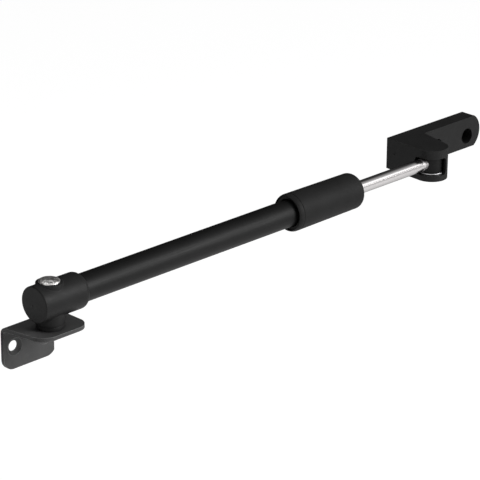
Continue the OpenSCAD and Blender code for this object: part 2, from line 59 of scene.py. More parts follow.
flat_right = Vector((math.cos(TAKE_AZIMUTH), math.sin(TAKE_AZIMUTH), 0))
towards_camera = Vector((
    math.sin(TAKE_AZIMUTH) * math.cos(TAKE_ELEVATION),
    -math.cos(TAKE_AZIMUTH) * math.cos(TAKE_ELEVATION),
    math.sin(TAKE_ELEVATION),
))
flat_up = towards_camera.cross(flat_right)
view_right = flat_right * math.cos(TAKE_ROLL) + flat_up * math.sin(TAKE_ROLL)
view_up = flat_up * math.cos(TAKE_ROLL) - flat_right * math.sin(TAKE_ROLL)
camera = bpy.data.objects.new("camera", bpy.data.cameras.new("camera"))
bpy.context.scene.collection.objects.link(camera)
camera.data.lens = LENS_MM
camera.data.sensor_width = SENSOR_MM
camera.data.clip_end = VIEW_END
stand = AIM + towards_camera * TAKE_DISTANCE
stand = stand + view_right * TAKE_SHIFT[0] + view_up * TAKE_SHIFT[1]
camera.matrix_world = (
    Matrix.Translation(stand)
    @ Matrix((view_right, view_up, towards_camera)).transposed().to_4x4()
)
bpy.context.scene.camera = camera
bpy.context.scene.view_settings.view_transform = "Standard"


# A plain pale floor, well below the stay, which is held up by its two ends.
# Most of its white is its own; the rest it gets from the lamps, so that it keeps the part's
# soft shadow. In reflections it fades towards the back, where the bay is open and dark.
FLOOR_DROP = 250 * MM
FLOOR_SIZE = 12.0
FLOOR_GLOW = 0.93
FLOOR_BACK_GLOW = 0.08
FLOOR_BACKWARD = (0.71, 0.71, 0)
FLOOR_FADE_FROM, FLOOR_FADE_TO = 0.2, 0.6


def linear(code):
    """An sRGB hex colour as linear red, green, blue and alpha."""
    shares = [int(code[i:i + 2], 16) / 255 for i in (1, 3, 5)]
    return [
        s / 12.92 if s <= 0.04045 else ((s + 0.055) / 1.055) ** 2.4 for s in shares
    ] + [1]


def add(tree, kind, inputs=None, **settings):
    """Adds a shader node. Each input is a value, or the socket that feeds it."""
    made = tree.nodes.new("ShaderNode" + kind)
    for name, value in settings.items():
        setattr(made, name, value)
    for socket, value in (inputs or {}).items():
        if isinstance(value, bpy.types.NodeSocket):
            tree.links.new(value, made.inputs[socket])
        else:
            made.inputs[socket].default_value = value
    return made


def start_material(name, **sockets):
    """A new material and its shader. A socket's name has _ for a space."""
    made = bpy.data.materials.new(name)
    made.use_nodes = True
    made.node_tree.nodes.clear()
    shader = add(made.node_tree, "BsdfPrincipled", {
        k.replace("_", " "): v for k, v in sockets.items()
    })
    add(made.node_tree, "OutputMaterial", {"Surface": shader.outputs[0]})
    return made, made.node_tree, shader


def let_go():
    """Nothing selected, and no object in edit mode."""
    if bpy.context.object and bpy.context.object.mode != "OBJECT":
        bpy.ops.object.mode_set(mode="OBJECT")
    bpy.ops.object.select_all(action="DESELECT")


let_go()
bpy.ops.mesh.primitive_plane_add(size=FLOOR_SIZE, location=(0, 0, -FLOOR_DROP))
floor = bpy.context.object
floor.name = "floor"
# White paper: dull, with an even glow that reads as plain white from the camera.
paper, tree, shader = start_material(
    "white_paper", Roughness=0.9, Base_Color=linear("#e8e8e8"))
rays = add(tree, "LightPath")
straight = add(tree, "Math", {
    0: rays.outputs["Is Camera Ray"], 1: rays.outputs["Is Glossy Ray"],
}, operation="MAXIMUM")
clear = add(tree, "Math", {
    0: straight.outputs[0], 1: rays.outputs["Is Transmission Ray"],
}, operation="MAXIMUM")
place = add(tree, "TexCoord").outputs["Object"]
backward = add(tree, "VectorMath", {0: place, 1: FLOOR_BACKWARD}, operation="DOT_PRODUCT")
fading = add(tree, "MapRange", {
    0: backward.outputs["Value"], 1: FLOOR_FADE_FROM, 2: FLOOR_FADE_TO,
    3: FLOOR_GLOW, 4: FLOOR_BACK_GLOW,
})
strength = add(tree, "Mix", {
    0: rays.outputs["Is Glossy Ray"], 2: FLOOR_GLOW, 3: fading.outputs[0],
}, data_type="FLOAT")
glow = add(tree, "Emission", {"Color": (1, 1, 1, 1), "Strength": strength.outputs[0]})
shade = add(tree, "BsdfDiffuse", {"Color": linear("#868686")})
lit = add(tree, "AddShader", {0: shade.outputs[0], 1: glow.outputs[0]})
shown = add(tree, "MixShader", {
    0: clear.outputs[0], 1: shader.outputs[0], 2: lit.outputs[0],
})
tree.links.new(shown.outputs[0], tree.nodes["Material Output"].inputs["Surface"])
floor.data.materials.append(paper)


# Soft studio light. A large box in front, to the right, gives the upright faces their grey,
# and a smaller one beside it draws the bright line on tube and rod. One on the left shows
# the cap's flat end, and one above lifts the tops.
def soft_box(name, towards, distance, size, watts):
    """A rectangular area lamp that looks at the aim point from a direction."""
    lamp = bpy.data.objects.new(name, bpy.data.lights.new(name, "AREA"))
    bpy.context.scene.collection.objects.link(lamp)
    lamp.data.shape = "RECTANGLE"
    lamp.data.size, lamp.data.size_y = size
    lamp.data.energy = watts
    way = Vector(towards).normalized()
    lamp.location = AIM + way * distance
    lamp.rotation_mode = "QUATERNION"
    lamp.rotation_quaternion = way.to_track_quat("Z", "Y")


soft_box("front_box", (0.42, -0.8, 0.44), distance=1.6, size=(0.9, 0.9), watts=19.5)
soft_box("line_box", (0.657, -0.56, 0.5), distance=1.5, size=(0.6, 0.4), watts=0.85)
soft_box("left_box", (-0.9, -0.2, 0.45), distance=1.8, size=(0.9, 0.9), watts=1.3)
soft_box("top_box", (0.0, 0.3, 1.0), distance=1.6, size=(0.8, 0.8), watts=4.2)


# The room: white behind the part, dim light from all sides on it, and for reflections
# light in front and dark above and behind, as in a white bay that is open there.
ROOM_LIGHT = 0.06
ROOM_BACKWARD = (0, 1, 0.4)
ROOM_FADE_FROM, ROOM_FADE_TO = -0.1, 0.6
ROOM_FRONT_GLOW, ROOM_BACK_GLOW = 0.74, 0.04
world = bpy.data.worlds.new("studio")
bpy.context.scene.world = world
world.use_nodes = True
tree = world.node_tree
tree.nodes.clear()
rays = add(tree, "LightPath")
direction = add(tree, "TexCoord").outputs["Generated"]
backward = add(tree, "VectorMath", {0: direction, 1: ROOM_BACKWARD}, operation="DOT_PRODUCT")
fading = add(tree, "MapRange", {
    0: backward.outputs["Value"], 1: ROOM_FADE_FROM, 2: ROOM_FADE_TO,
    3: ROOM_FRONT_GLOW, 4: ROOM_BACK_GLOW,
})
mirror = add(tree, "Background", {"Color": (1, 1, 1, 1), "Strength": fading.outputs[0]})
room = add(tree, "Background", {"Color": (1, 1, 1, 1), "Strength": ROOM_LIGHT})
lit = add(tree, "MixShader", {
    0: rays.outputs["Is Glossy Ray"], 1: room.outputs[0], 2: mirror.outputs[0],
})
white = add(tree, "Background", {"Color": (1, 1, 1, 1), "Strength": 1.0})
shown = add(tree, "MixShader", {
    0: rays.outputs["Is Camera Ray"], 1: lit.outputs[0], 2: white.outputs[0],
})
add(tree, "OutputWorld", {"Surface": shown.outputs[0]})


# The frame bracket is a steel plate of 2 mm, punched, bent to an L and powder coated.
# Its shelf carries the pivot; two countersunk screws hold its leg on the window frame.
WELD, FLAT_WITHIN = 0.002 * MM, math.radians(0.3)
SHARP_FROM, EDGE_STEPS = math.radians(30), 3


def work_on(piece):
    """Only this piece selected and active."""
    let_go()
    piece.select_set(True)
    bpy.context.view_layer.objects.active = piece


def shape(piece, kind, **settings):
    """Adds a modifier with its settings and applies it."""
    work_on(piece)
    modifier = piece.modifiers.new(kind.lower(), kind)
    for name, value in settings.items():
        setattr(modifier, name, value)
    bpy.ops.object.modifier_apply(modifier=modifier.name)


def own_copy(name, node):
    """A merged copy of a CAD node's mesh, as a piece of its own, with flat faces joined."""
    piece = bpy.data.objects.new(name, nodes[node].data.copy())
    bpy.context.scene.collection.objects.link(piece)
    piece.data.materials.clear()
    work_on(piece)
    bpy.ops.object.mode_set(mode="EDIT")
    bpy.ops.mesh.select_all(action="SELECT")
    bpy.ops.mesh.remove_doubles(threshold=WELD)
    bpy.ops.mesh.dissolve_limited(angle_limit=FLAT_WITHIN)
    let_go()
    return piece


def smooth(piece):
    """Smooth shading, with flat faces kept flat beside their rounded edges."""
    work_on(piece)
    bpy.ops.object.shade_smooth_by_angle(angle=SHARP_FROM)
    shape(piece, "WEIGHTED_NORMAL", keep_sharp=True, weight=100)


def round_edges(piece, width):
    """Rounds every sharp edge of a piece."""
    shape(piece, "BEVEL", width=width, segments=EDGE_STEPS, limit_method="ANGLE",
          angle_limit=SHARP_FROM, miter_outer="MITER_ARC")
    smooth(piece)


def stand_in(piece, body, node, material):
    """Gives a piece its material and body, and puts it in place of a CAD node."""
    piece.data.materials.append(material)
    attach(piece, body)
    if node:
        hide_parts(node)


TONE_FROM, TONE_TO = 0.35, 0.65
GRAIN_FROM, GRAIN_TO = 0.3, 0.7


def lay_on(tree, shader, tone_by, low, high, grain_by, rough, depth):
    """Two colours by one pattern; roughness and a bump of a real depth by another."""
    grain = grain_by.outputs[0]
    tone = add(tree, "ValToRGB", {0: tone_by.outputs[0]})
    for end, at, code in zip(tone.color_ramp.elements, (TONE_FROM, TONE_TO), (low, high)):
        end.position, end.color = at, linear(code)
    tree.links.new(tone.outputs[0], shader.inputs["Base Color"])
    dull = add(tree, "MapRange", {
        0: grain, 1: GRAIN_FROM, 2: GRAIN_TO, 3: rough[0], 4: rough[1],
    })
    tree.links.new(dull.outputs[0], shader.inputs["Roughness"])
    bump = add(tree, "Bump", {"Height": grain, "Strength": 1.0, "Distance": depth})
    tree.links.new(bump.outputs[0], shader.inputs["Normal"])
    return tone.outputs[0]


COAT_GRAIN, COAT_PEEL, COAT_CLOUD, COAT_DEPTH = 0.3 * MM, 1.4 * MM, 9 * MM, 0.03 * MM
COAT_ROUGH = (0.42, 0.6)
FINE_SHARE, GRAIN_SHARE = 0.45, 0.4
HOLLOW_REACH, HOLLOW_SHUT, HOLLOW_OPEN, HOLLOW_SHADE_SHARE = 4 * MM, 0.25, 0.85, 0.8
EDGE_REACH, EDGE_FLAT, EDGE_TURNED, EDGE_SHARE = 0.45 * MM, 0.995, 0.93, 0.8


def powder_coat(name, low, high, edge, shine):
    """Matt powder coat: fine grain on a soft peel, faint clouds, a pale thin coat on edges
    that is partly a painted highlight, and painted shade, a deeper black in hollows that light
    doesn't reach."""
    made, tree, shader = start_material(name, Specular_IOR_Level=shine)
    place = add(tree, "TexCoord").outputs["Object"]
    peel = add(tree, "TexNoise", {"Vector": place, "Scale": 1 / COAT_PEEL, "Detail": 3.0})
    fine = add(tree, "TexNoise", {
        "Vector": place, "Scale": 1 / COAT_GRAIN, "Detail": 2.0, "Roughness": 0.6,
    })
    cloud = add(tree, "TexNoise", {"Vector": place, "Scale": 1 / COAT_CLOUD, "Detail": 3.0})
    grain = add(tree, "Mix", {
        0: FINE_SHARE, 2: peel.outputs[0], 3: fine.outputs[0],
    }, data_type="FLOAT")
    speckle = add(tree, "Mix", {
        0: GRAIN_SHARE, 2: cloud.outputs[0], 3: grain.outputs[0],
    }, data_type="FLOAT")
    tone = lay_on(tree, shader, speckle, low, high, grain, COAT_ROUGH, COAT_DEPTH)
    # Painted shade: where ambient occlusion finds a hollow, the colour is mixed towards black.
    open_to = add(tree, "AmbientOcclusion", {"Distance": HOLLOW_REACH}, samples=8)
    painted_hollow_shade = add(tree, "MapRange", {
        0: open_to.outputs["AO"], 1: HOLLOW_SHUT, 2: HOLLOW_OPEN, 3: HOLLOW_SHADE_SHARE, 4: 0.0,
    })
    # The pale edges are partly a real thin coat and partly a painted highlight along the rims.
    rounded = add(tree, "Bevel", {"Radius": EDGE_REACH}, samples=6)
    flat = add(tree, "NewGeometry").outputs["Normal"]
    along = add(tree, "VectorMath", {0: rounded.outputs[0], 1: flat}, operation="DOT_PRODUCT")
    edge_coat_and_highlight = add(tree, "MapRange", {
        0: along.outputs["Value"], 1: EDGE_FLAT, 2: EDGE_TURNED, 3: 0.0, 4: EDGE_SHARE,
    })
    paler = add(tree, "Mix", {0: edge_coat_and_highlight.outputs[0], 6: tone, 7: linear(edge)}, data_type="RGBA")
    colour = add(tree, "Mix", {
        0: painted_hollow_shade.outputs[0], 6: paler.outputs[2], 7: linear("#050505"),
    }, data_type="RGBA")
    tree.links.new(colour.outputs[2], shader.inputs["Base Color"])
    return made


# Polyester powder on steel: near black, matt, with a grain that the eye just sees.
# Its pale edge colour is partly a painted highlight on the rims.
plate_powder = powder_coat(
    "powder_coated_steel", "#505050", "#5b5b5b", edge="#949494", shine=0.2)
bracket = own_copy("bent_frame_bracket", "frame_bracket")
# Each screw hole is sunk to 9 mm for the flat head of a window screw.
PLATE, ROUND_STEPS = 2 * MM, 96
HOLE_R, HOLE_AT = 2.7 * MM, 9.5 * MM
SINK_R, SINK_DEPTH, SINK_OVER = 4.5 * MM, 1.3 * MM, 0.5 * MM


def cut_away(piece, bit):
    """Cuts a bit's shape out of a piece, and takes the bit away."""
    shape(piece, "BOOLEAN", operation="DIFFERENCE", solver="EXACT", object=bit)
    bpy.data.objects.remove(bit)


flare = (SINK_R - HOLE_R) / SINK_DEPTH
for side in (-1, 1):
    let_go()
    bpy.ops.mesh.primitive_cone_add(
        vertices=ROUND_STEPS, radius1=HOLE_R, radius2=SINK_R + flare * SINK_OVER,
        depth=SINK_DEPTH + SINK_OVER, rotation=(math.radians(90), 0, 0),
        location=(side * HOLE_AT, -PLATE + (SINK_DEPTH - SINK_OVER) / 2, 0))
    bit = bpy.context.object
    bpy.ops.object.transform_apply(location=True, rotation=True, scale=True)
    cut_away(bracket, bit)

# The leg's right side stands back a little from the shelf's, and runs out to it in a curve.
LEG_RIGHT, CURVE_FROM, CURVE_R, CUTTER = 15 * MM, 6.3 * MM, 6 * MM, 30 * MM
let_go()
bpy.ops.mesh.primitive_cube_add(
    size=CUTTER, location=(LEG_RIGHT + CUTTER / 2, 0, CURVE_FROM - CUTTER / 2))
cut_away(bracket, bpy.context.object)
let_go()
bpy.ops.mesh.primitive_cylinder_add(
    vertices=ROUND_STEPS, radius=CURVE_R, depth=CUTTER, rotation=(math.radians(90), 0, 0),
    location=(LEG_RIGHT + CURVE_R, 0, CURVE_FROM))
bit = bpy.context.object
bpy.ops.object.transform_apply(location=True, rotation=True, scale=True)
cut_away(bracket, bit)

# The shelf's left side leans in towards the front, and runs round a larger corner there:
# it is nibbled off by straight cuts that touch the corner's circle, one after the other.
SHELF_SIDE = Vector((-16.3 * MM, -4.5 * MM, 0))
SHELF_LEAN, SHELF_CORNER = math.radians(8.6), 8.5 * MM
CORNER_CUTS, MERGE = 14, 0.0005 * MM
PLATE_EDGE = 0.3 * MM
shelf_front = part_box("frame_bracket")[0].y
side_out = Vector((-math.cos(SHELF_LEAN), -math.sin(SHELF_LEAN), 0))
centre_y = shelf_front + SHELF_CORNER
across = (SHELF_CORNER - side_out.y * (SHELF_SIDE.y - centre_y)) / side_out.x
corner = Vector((SHELF_SIDE.x - across, centre_y, 0))
work_on(bracket)
bpy.ops.object.mode_set(mode="EDIT")
for cut in range(CORNER_CUTS):
    way = math.radians(180) + SHELF_LEAN + (math.radians(90) - SHELF_LEAN) * cut / CORNER_CUTS
    cut_out = Vector((math.cos(way), math.sin(way), 0))
    bpy.ops.mesh.select_all(action="SELECT")
    bpy.ops.mesh.bisect(plane_co=corner + cut_out * SHELF_CORNER, plane_no=cut_out,
                        use_fill=True, clear_outer=True, threshold=MERGE)
round_edges(bracket, PLATE_EDGE)
stand_in(bracket, "frame_side", "frame_bracket", plate_powder)


# The pivot pin is bright steel. Its head is peened over the cap by a riveting tool, which
# leaves it slightly domed and dimpled; below the shelf it ends in a small rivet head.
def turn(name, centre, way, stations, steps=ROUND_STEPS):
    """Turns a piece as on a lathe: a ring drawn out through stations, each a place and a
    radius, along X or Z. A ring that comes back to its first station leaves a bore."""
    way = Vector(way)
    place, radius = stations[0]
    bored = stations[0] == stations[-1]
    let_go()
    bpy.ops.mesh.primitive_circle_add(
        vertices=steps, radius=radius, fill_type="NOTHING" if bored else "NGON",
        location=Vector(centre) + way * place, rotation=(0, math.radians(90) * way.x, 0))
    piece = bpy.context.object
    piece.name = name
    bpy.ops.object.transform_apply(location=True, rotation=True, scale=True)
    bpy.ops.object.mode_set(mode="EDIT")
    bpy.ops.mesh.select_all(action="SELECT")
    for (place, radius), (next_place, next_radius) in zip(stations, stations[1:]):
        bpy.ops.mesh.extrude_region_move(
            TRANSFORM_OT_translate={"value": way * (next_place - place)})
        grow = next_radius / radius
        bpy.ops.transform.resize(
            value=(1, grow, grow) if way.x else (grow, grow, 1),
            center_override=Vector(centre) + way * next_place)
    bpy.ops.mesh.select_all(action="SELECT")
    bpy.ops.mesh.remove_doubles(threshold=MERGE)
    bpy.ops.mesh.normals_make_consistent(inside=False)
    let_go()
    smooth(piece)
    return piece


pin_low, pin_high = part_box("pivot_pin")
HEAD_R, HEAD_RIM, HEAD_DOME, HEAD_EDGE = 5.2 * MM, 0.45 * MM, 1.1 * MM, 0.15 * MM
SHANK_R, RIVET_R, RIVET_H = 3 * MM, 4.5 * MM, 1.3 * MM
TINY, DOME_STEPS = 0.02 * MM, 10
head_base = pin_high.z - HEAD_RIM - HEAD_DOME
shelf_under = pin_low.z + RIVET_H
quarter = [math.radians(90 * i / DOME_STEPS) for i in range(DOME_STEPS + 1)]
rivet = [(shelf_under - RIVET_H * math.cos(a), max(RIVET_R * math.sin(a), TINY))
         for a in quarter]
shank = [(shelf_under, SHANK_R), (head_base, SHANK_R)]
brim = [(head_base, HEAD_R - HEAD_EDGE), (head_base + HEAD_EDGE, HEAD_R)]
dome = [(pin_high.z - HEAD_DOME * (1 - math.cos(a)), max(HEAD_R * math.sin(a), TINY))
        for a in reversed(quarter)]
pin = turn("peened_pivot_pin", (0, AXIS_Y, 0), (0, 0, 1), rivet + shank + brim + dome)
# Bright steel, dimpled and scuffed by the riveting tool, so that its light breaks up.
peened_steel, tree, shader = start_material("peened_bright_steel", Metallic=1.0)
place = add(tree, "TexCoord").outputs["Object"]
scuffs = add(tree, "TexNoise", {"Vector": place, "Scale": 1 / (0.8 * MM), "Detail": 3.0})
dents = add(tree, "TexNoise", {
    "Vector": place, "Scale": 1 / (2.6 * MM), "Detail": 2.0, "Roughness": 0.5,
})
lay_on(tree, shader, scuffs, "#c8c6c4", "#eceae8", dents,
       rough=(0.3, 0.46), depth=1.1 * MM)
stand_in(pin, "frame_side", "pivot_pin", peened_steel)


# The spacer ring is a thin washer, moulded from black nylon. It lies loose on the pivot
# pin and keeps the cap's lower boss off the shelf's paint.
RING_EDGE = 0.25 * MM
ring = own_copy("moulded_spacer_ring", "spacer_ring")
round_edges(ring, RING_EDGE)
# Black nylon, a little uneven in its sheen.
black_nylon, tree, shader = start_material("moulded_black_nylon", Specular_IOR_Level=0.3)
place = add(tree, "TexCoord").outputs["Object"]
cloud = add(tree, "TexNoise", {"Vector": place, "Scale": 1 / (5 * MM), "Detail": 3.0})
fine = add(tree, "TexNoise", {"Vector": place, "Scale": 1 / (0.4 * MM), "Detail": 3.0})
lay_on(tree, shader, cloud, "#1b1b1b", "#202020", fine,
       rough=(0.4, 0.6), depth=0.01 * MM)
stand_in(ring, "frame_side", "spacer_ring", black_nylon)


# The end cap is a zinc die casting, powder coated: a round body with a boss above and below.
# Its corners are soft, as the coat fills them, and its flat end has the mark of the gate.
CAP_VOXEL, CAP_SOFTENING = 0.22 * MM, 2
# Powder on zinc: as matt as on the plate, but a blacker batch.
cast_powder = powder_coat(
    "powder_coated_casting", "#1c1c1c", "#232323", edge="#353535", shine=0.18)
cap = own_copy("cast_end_cap", "end_cap")
shape(cap, "REMESH", mode="VOXEL", voxel_size=CAP_VOXEL, use_smooth_shade=True)
shape(cap, "SMOOTH", factor=0.5, iterations=CAP_SOFTENING)
stand_in(cap, "barrel", "end_cap", cast_powder)

# The gate mark, where the metal came in, is a low pip just over a millimetre across.
GATE_R, GATE_H, GATE_ROOT = 0.6 * MM, 0.15 * MM, 0.2 * MM
GATE_Y, GATE_Z, PIP_STEPS = -15.4 * MM, 24.9 * MM, 24
cap_face_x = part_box("end_cap")[0].x
gate_mark = turn(
    "cap_gate_mark", (cap_face_x, GATE_Y, GATE_Z), (1, 0, 0),
    [(GATE_ROOT, GATE_R), (-0.6 * GATE_H, 0.9 * GATE_R), (-GATE_H, 0.5 * GATE_R)],
    steps=PIP_STEPS)
stand_in(gate_mark, "barrel", None, cast_powder)


# The barrel is drawn steel tube, fixed in the cap at one end and on the brake body's spigot
# at the other. Its satin black coat is thin, so it keeps faint draw lines along its length
# and shines a little more than the castings.
TUBE_R, TUBE_BORE_R, TUBE_EDGE, LONG_STEPS = 7 * MM, 6 * MM, 0.1 * MM, 192
tube_low, tube_high = (corner.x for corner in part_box("barrel_tube"))
tube = turn("coated_barrel_tube", (0, AXIS_Y, AXIS_Z), (1, 0, 0), [
    (tube_low, TUBE_R - TUBE_EDGE), (tube_low + TUBE_EDGE, TUBE_R),
    (tube_high - TUBE_EDGE, TUBE_R), (tube_high, TUBE_R - TUBE_EDGE),
    (tube_high, TUBE_BORE_R), (tube_low, TUBE_BORE_R), (tube_low, TUBE_R - TUBE_EDGE),
], steps=LONG_STEPS)
# Electrophoretic black on drawn steel: satin, with faint clouds, and draw lines that are
# stretched fifty times along the tube.
satin_tube, tree, shader = start_material("satin_coated_tube", Specular_IOR_Level=0.22)
ALONG_TUBE = (0.02, 1.0, 1.0)
place = add(tree, "TexCoord").outputs["Object"]
drawn = add(tree, "Mapping", {"Vector": place, "Scale": ALONG_TUBE}).outputs[0]
cloud = add(tree, "TexNoise", {"Vector": place, "Scale": 1 / (12 * MM), "Detail": 3.0})
draw_lines = add(tree, "TexNoise", {"Vector": drawn, "Scale": 1 / (0.6 * MM), "Detail": 3.0})
lay_on(tree, shader, cloud, "#060606", "#0a0a0a", draw_lines,
       rough=(0.46, 0.54), depth=0.004 * MM)
stand_in(tube, "barrel", "barrel_tube", satin_tube)


# The grip is a sleeve of moulded nylon on a brass insert, turned by hand. Its spark-eroded
# skin is finer and softer than powder coat, and a line of the mould runs round it near its
# left end.
GRIP_BACK_R, GRIP_FRONT_R, GRIP_ROUND = 9.95 * MM, 9.6 * MM, 3 * MM
GRIP_BORE_R, GRIP_MOUTH_R, MOUTH_EDGE = 7.5 * MM, 4 * MM, 0.3 * MM
INSERT_R, WIPER_R = 8.4 * MM, 6 * MM
RECESS_R, RECESS_LEN, BACK_ROUND, CAD_RECESS_R = 9.1 * MM, 2.5 * MM, 3.8 * MM, 8.3 * MM
LINE_AT, LINE_W, LINE_DEEP = 4.3 * MM, 0.36 * MM, 0.2 * MM
LINE_SHAPE = ((0, 0), (0.15, 0.6), (0.35, 1), (0.65, 1), (0.85, 0.6), (1, 0))
ARC_STEPS = 14


def arc(place, radius, size, start, end):
    """Stations on an arc of a size about a point, from one angle to another in degrees."""
    turns = [math.radians(start + (end - start) * i / ARC_STEPS) for i in range(ARC_STEPS + 1)]
    return [(place + size * math.cos(a), radius + size * math.sin(a)) for a in turns]


grip_low, grip_high = (corner.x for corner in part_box("grip_sleeve"))
# The CAD sleeve's box starts where its rounding meets its smaller recess, not at the full arc.
cad_rim = CAD_RECESS_R - GRIP_BACK_R + GRIP_ROUND
grip_low -= GRIP_ROUND - math.sqrt(GRIP_ROUND ** 2 - cad_rim ** 2)
insert_low, insert_high = (corner.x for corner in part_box("grip_insert"))
wiper_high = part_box("rod_wiper")[1].x
rim = math.degrees(math.asin((RECESS_R - GRIP_BACK_R + BACK_ROUND) / BACK_ROUND))
outside = arc(grip_low + BACK_ROUND, GRIP_BACK_R - BACK_ROUND, BACK_ROUND, 180 - rim, 90)
outside += [(grip_low + LINE_AT + LINE_W * along, GRIP_BACK_R - LINE_DEEP * deep)
            for along, deep in LINE_SHAPE]
outside += arc(grip_high - GRIP_ROUND, GRIP_FRONT_R - GRIP_ROUND, GRIP_ROUND, 90, 0)
inside = [
    (grip_high, GRIP_MOUTH_R + MOUTH_EDGE), (grip_high - MOUTH_EDGE, GRIP_MOUTH_R),
    (wiper_high, GRIP_MOUTH_R), (wiper_high, WIPER_R), (insert_high, WIPER_R),
    (insert_high, INSERT_R), (insert_low, INSERT_R), (insert_low, GRIP_BORE_R),
    (grip_low + RECESS_LEN, GRIP_BORE_R), (grip_low + RECESS_LEN, RECESS_R),
]
sleeve = turn("moulded_grip_sleeve", (0, AXIS_Y, AXIS_Z), (1, 0, 0),
              outside + inside + outside[:1], steps=LONG_STEPS)
# Glass-filled nylon from a spark-eroded mould: dull, with a very fine even skin.
moulded_grip, tree, shader = start_material("matt_moulded_grip", Specular_IOR_Level=0.16)
place = add(tree, "TexCoord").outputs["Object"]
skin = add(tree, "TexNoise", {
    "Vector": place, "Scale": 1 / (0.35 * MM), "Detail": 3.0, "Roughness": 0.6,
})
cloud = add(tree, "TexNoise", {"Vector": place, "Scale": 1 / (10 * MM), "Detail": 3.0})
lay_on(tree, shader, cloud, "#1c1c1c", "#212121", skin,
       rough=(0.52, 0.7), depth=0.02 * MM)
stand_in(sleeve, "grip", "grip_sleeve", moulded_grip)


# The rod is drawn steel, polished bright along its length. A tapped hole takes the piston's
# screw; the other end is turned down a little and goes into the side of the eye.
ROD_R, ROD_TIP_R, ROD_EDGE = 3.5 * MM, 3.2 * MM, 0.4 * MM
NOSE_LEN, IN_EYE, NOSE_STEPS = 2.5 * MM, 2.6 * MM, 4
SCREW_R, SCREW_DEEP = 1.6 * MM, 8 * MM
rod_low, rod_high = (corner.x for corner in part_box("rod"))
nose = [(rod_high - IN_EYE - NOSE_LEN * (1 - t), ROD_R - (ROD_R - ROD_TIP_R) * t * t)
        for t in (step / NOSE_STEPS for step in range(NOSE_STEPS + 1))]
tapped_end = [(rod_low + SCREW_DEEP, TINY), (rod_low + SCREW_DEEP, SCREW_R),
              (rod_low, SCREW_R), (rod_low, ROD_R - ROD_EDGE), (rod_low + ROD_EDGE, ROD_R)]
spigot = [(rod_high, ROD_TIP_R), (rod_high, TINY)]
rod = turn("polished_rod", (0, AXIS_Y, AXIS_Z), (1, 0, 0), tapped_end + nose + spigot,
           steps=LONG_STEPS)
# Polished steel: a mirror with a light haze and faint polishing lines, both stretched a
# hundred times along the rod.
polished_steel, tree, shader = start_material("polished_steel", Metallic=1.0)
ALONG_ROD = (0.01, 1.0, 1.0)
place = add(tree, "TexCoord").outputs["Object"]
along = add(tree, "Mapping", {"Vector": place, "Scale": ALONG_ROD}).outputs[0]
haze = add(tree, "TexNoise", {"Vector": along, "Scale": 1 / (1.5 * MM), "Detail": 2.0})
polish_lines = add(tree, "TexNoise", {"Vector": along, "Scale": 1 / (0.7 * MM), "Detail": 2.0})
lay_on(tree, shader, haze, "#c9c6c6", "#cecccc", polish_lines,
       rough=(0.15, 0.19), depth=0.00003 * MM)
# The turned nose isn't polished, so it is duller than the rod.
NOSE_DULLER, DULL_BEFORE, DULL_BY = 0.28, 1.5 * MM, 0.5 * MM
lengthways = add(tree, "SeparateXYZ", {0: place}).outputs["X"]
nose_from = rod_high - IN_EYE - NOSE_LEN
turned = add(tree, "MapRange", {
    0: lengthways, 1: nose_from - DULL_BEFORE, 2: nose_from + DULL_BY,
    3: 0.0, 4: NOSE_DULLER,
})
polished = shader.inputs["Roughness"].links[0].from_socket
duller = add(tree, "Math", {0: polished, 1: turned.outputs[0]}, operation="ADD")
tree.links.new(duller.outputs[0], shader.inputs["Roughness"])
stand_in(rod, "rod", "rod", polished_steel)


# The rod's eye is a zinc die casting with powder coat. It stands upright, pressed on the
# rod's turned end, and its edges are broken by tumbling before the coat.
CASTING_EDGE = 0.2 * MM
eye = own_copy("cast_rod_eye", "rod_eye")
round_edges(eye, CASTING_EDGE)
# The same powder, but painted a deeper black as shade, where the fork's ears keep light off
# it.
painted_shade_eye_powder = powder_coat(
    "powder_coated_eye_painted_shade", "#0d0d0d", "#121212", edge="#202020", shine=0.18)
stand_in(eye, "rod", "rod_eye", painted_shade_eye_powder)


# The fork bracket is a die casting with the same coat as the cap: two ears round the eye,
# a block that spreads to the sash, and an arm with two counterbored screw holes.
fork = own_copy("cast_fork_bracket", "fork_bracket")
round_edges(fork, CASTING_EDGE)
stand_in(fork, "sash_side", "fork_bracket", cast_powder)

# A pip of the mould stands a little proud of the block's left face: a flat ball, half sunk.
PIP_AT = Vector((262.09 * MM, 2.9 * MM, 26.48 * MM))
PIP_R, PIP_H = 0.45 * MM, 0.2 * MM
let_go()
bpy.ops.mesh.primitive_uv_sphere_add(
    segments=PIP_STEPS, ring_count=PIP_STEPS // 2, radius=PIP_R, location=PIP_AT)
fork_pip = bpy.context.object
fork_pip.name = "fork_mould_pip"
bpy.ops.object.transform_apply(location=True, rotation=True, scale=True)
bpy.ops.object.mode_set(mode="EDIT")
bpy.ops.mesh.select_all(action="SELECT")
bpy.ops.transform.resize(value=(PIP_H / PIP_R, 1, 1), center_override=PIP_AT)
let_go()
smooth(fork_pip)
stand_in(fork_pip, "sash_side", None, cast_powder)


# The fork pin is the eye's hinge pin, ground from steel rod. It is driven in from below
# until it lies flush with the lower ear.
FORK_PIN_EDGE = 0.15 * MM
fork_pin = own_copy("ground_fork_pin", "fork_pin")
round_edges(fork_pin, FORK_PIN_EDGE)
stand_in(fork_pin, "sash_side", "fork_pin", polished_steel)


# The washer under the eye is punched from steel sheet, tumbled and zinc plated. It keeps
# the eye off the fork's lower ear, and its rounded rim shines in the slot.
WASHER_EDGE = 0.25 * MM
washer = own_copy("bright_fork_washer", "fork_washer")
round_edges(washer, WASHER_EDGE)
